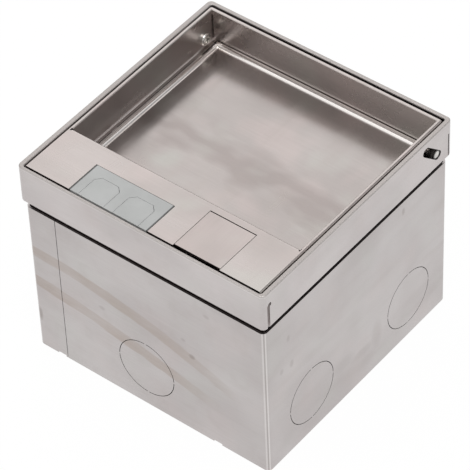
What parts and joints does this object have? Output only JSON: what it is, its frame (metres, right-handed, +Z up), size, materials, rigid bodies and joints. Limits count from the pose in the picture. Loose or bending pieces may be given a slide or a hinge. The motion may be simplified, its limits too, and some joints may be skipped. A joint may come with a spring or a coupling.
{
  "type": "floor socket box",
  "caption": "Square stainless floor box with a recessed lid on hidden sliding pivots, a cable outlet with push-in flaps, a pull flap, and a height-adjustable frame over sockets.",
  "frame": {"origin": "centre of the installation box's underside", "axes": "+Z up out of the floor, -Y the front with the cable outlet and the pull flap, +X to the right as seen from the front"},
  "size_m": [0.14, 0.14, 0.116],
  "materials": {
    "stainless": "stainless sheet with a fine matt grain",
    "steel_zinc": "zinc-plated steel, satin",
    "grey_plastic": "light grey moulded plastic, matt",
    "socket_plastic": "white moulded plastic, satin",
    "dark_plastic": "black moulded plastic",
    "foam": "black closed-cell foam",
    "brass": "plain brass"
  },
  "bodies": {
    "base": {"base_shell": "stainless", "seam_strip": "stainless", "base_floor": "stainless", "levelling_brackets": "stainless", "carrier_legs": "steel_zinc", "carrier_plate": "steel_zinc", "carrier_screws": "steel_zinc", "socket_front_left": "socket_plastic", "socket_front_right": "socket_plastic", "socket_back_left": "dark_plastic", "socket_back_right": "dark_plastic", "earth_springs_left": "steel_zinc", "earth_springs_right": "steel_zinc", "terminal_screws": "steel_zinc", "data_outlet": "socket_plastic", "data_jacks": "dark_plastic", "earth_stud": "brass", "earth_nut_set": "brass"},
    "frame": {"trim_frame": "stainless", "frame_collar": "stainless", "levelling_lugs": "stainless", "lid_ledges": "stainless", "ledge_seals": "foam", "lid_rests": "stainless"},
    "pivot_rollers": {"pivot_roller_left": "dark_plastic", "pivot_roller_right": "dark_plastic"},
    "lid": {"lid_shell": "stainless", "tray_pan": "stainless", "tray_tack_welds": "stainless", "outlet_insert": "grey_plastic", "outlet_flap_pin": "steel_zinc", "pivot_screw_left": "steel_zinc", "pivot_screw_right": "steel_zinc", "pivot_nuts": "steel_zinc", "flap_well": "stainless", "flap_pin": "stainless"},
    "pull_flap": {"pull_flap": "stainless"},
    "outlet_flap_left": {"outlet_flap_left": "grey_plastic"},
    "outlet_flap_right": {"outlet_flap_right": "grey_plastic"},
    "levelling_screw_front_left": {"levelling_screw_front_left": "steel_zinc", "screw_clip_front_left": "steel_zinc"},
    "levelling_screw_front_right": {"levelling_screw_front_right": "steel_zinc", "screw_clip_front_right": "steel_zinc"},
    "levelling_screw_back_left": {"levelling_screw_back_left": "steel_zinc", "screw_clip_back_left": "steel_zinc"},
    "levelling_screw_back_right": {"levelling_screw_back_right": "steel_zinc", "screw_clip_back_right": "steel_zinc"}
  },
  "joints": [
    {"name": "frame_height", "type": "slide", "parent": "base", "child": "frame", "axis": [0, 0, 1], "range_m": [-0.0025, 0.014]},
    {"name": "pivot_slide", "type": "slide", "parent": "frame", "child": "pivot_rollers", "axis": [0, -0.7314, 0.682], "range_m": [0, 0.0117]},
    {"name": "lid_hinge", "type": "hinge", "parent": "pivot_rollers", "child": "lid", "pos_m": [0, 0.0584, 0.1022], "axis": [-1, 0, 0], "range_deg": [0, 76]},
    {"name": "pull_flap_hinge", "type": "hinge", "parent": "lid", "child": "pull_flap", "pos_m": [0.03135, -0.0461, 0.1136], "axis": [-1, 0, 0], "range_deg": [0, 95]},
    {"name": "outlet_flap_left_hinge", "type": "hinge", "parent": "lid", "child": "outlet_flap_left", "pos_m": [-0.0285, -0.05415, 0.1129], "axis": [1, 0, 0], "range_deg": [0, 80]},
    {"name": "outlet_flap_right_hinge", "type": "hinge", "parent": "lid", "child": "outlet_flap_right", "pos_m": [-0.0086, -0.05415, 0.1129], "axis": [1, 0, 0], "range_deg": [0, 80]},
    {"name": "levelling_screw_front_left_turn", "type": "hinge", "parent": "base", "child": "levelling_screw_front_left", "pos_m": [-0.06, -0.06, 0.0759], "axis": [0, 0, 1], "range_deg": [-6300.02, 1125.02]},
    {"name": "levelling_screw_front_right_turn", "type": "hinge", "parent": "base", "child": "levelling_screw_front_right", "pos_m": [0.06, -0.06, 0.0759], "axis": [0, 0, 1], "range_deg": [-6300.02, 1125.02]},
    {"name": "levelling_screw_back_left_turn", "type": "hinge", "parent": "base", "child": "levelling_screw_back_left", "pos_m": [-0.06, 0.06, 0.0759], "axis": [0, 0, 1], "range_deg": [-6300.02, 1125.02]},
    {"name": "levelling_screw_back_right_turn", "type": "hinge", "parent": "base", "child": "levelling_screw_back_right", "pos_m": [0.06, 0.06, 0.0759], "axis": [0, 0, 1], "range_deg": [-6300.02, 1125.02]}
  ],
  "couplings": [
    {"joint": "pivot_slide", "follows": "lid_hinge", "m_per_rad": 0.0088205},
    {"joint": "levelling_screw_front_left_turn", "follows": "frame_height", "rad_per_m": -7854},
    {"joint": "levelling_screw_front_right_turn", "follows": "frame_height", "rad_per_m": -7854},
    {"joint": "levelling_screw_back_left_turn", "follows": "frame_height", "rad_per_m": -7854},
    {"joint": "levelling_screw_back_right_turn", "follows": "frame_height", "rad_per_m": -7854}
  ]
}
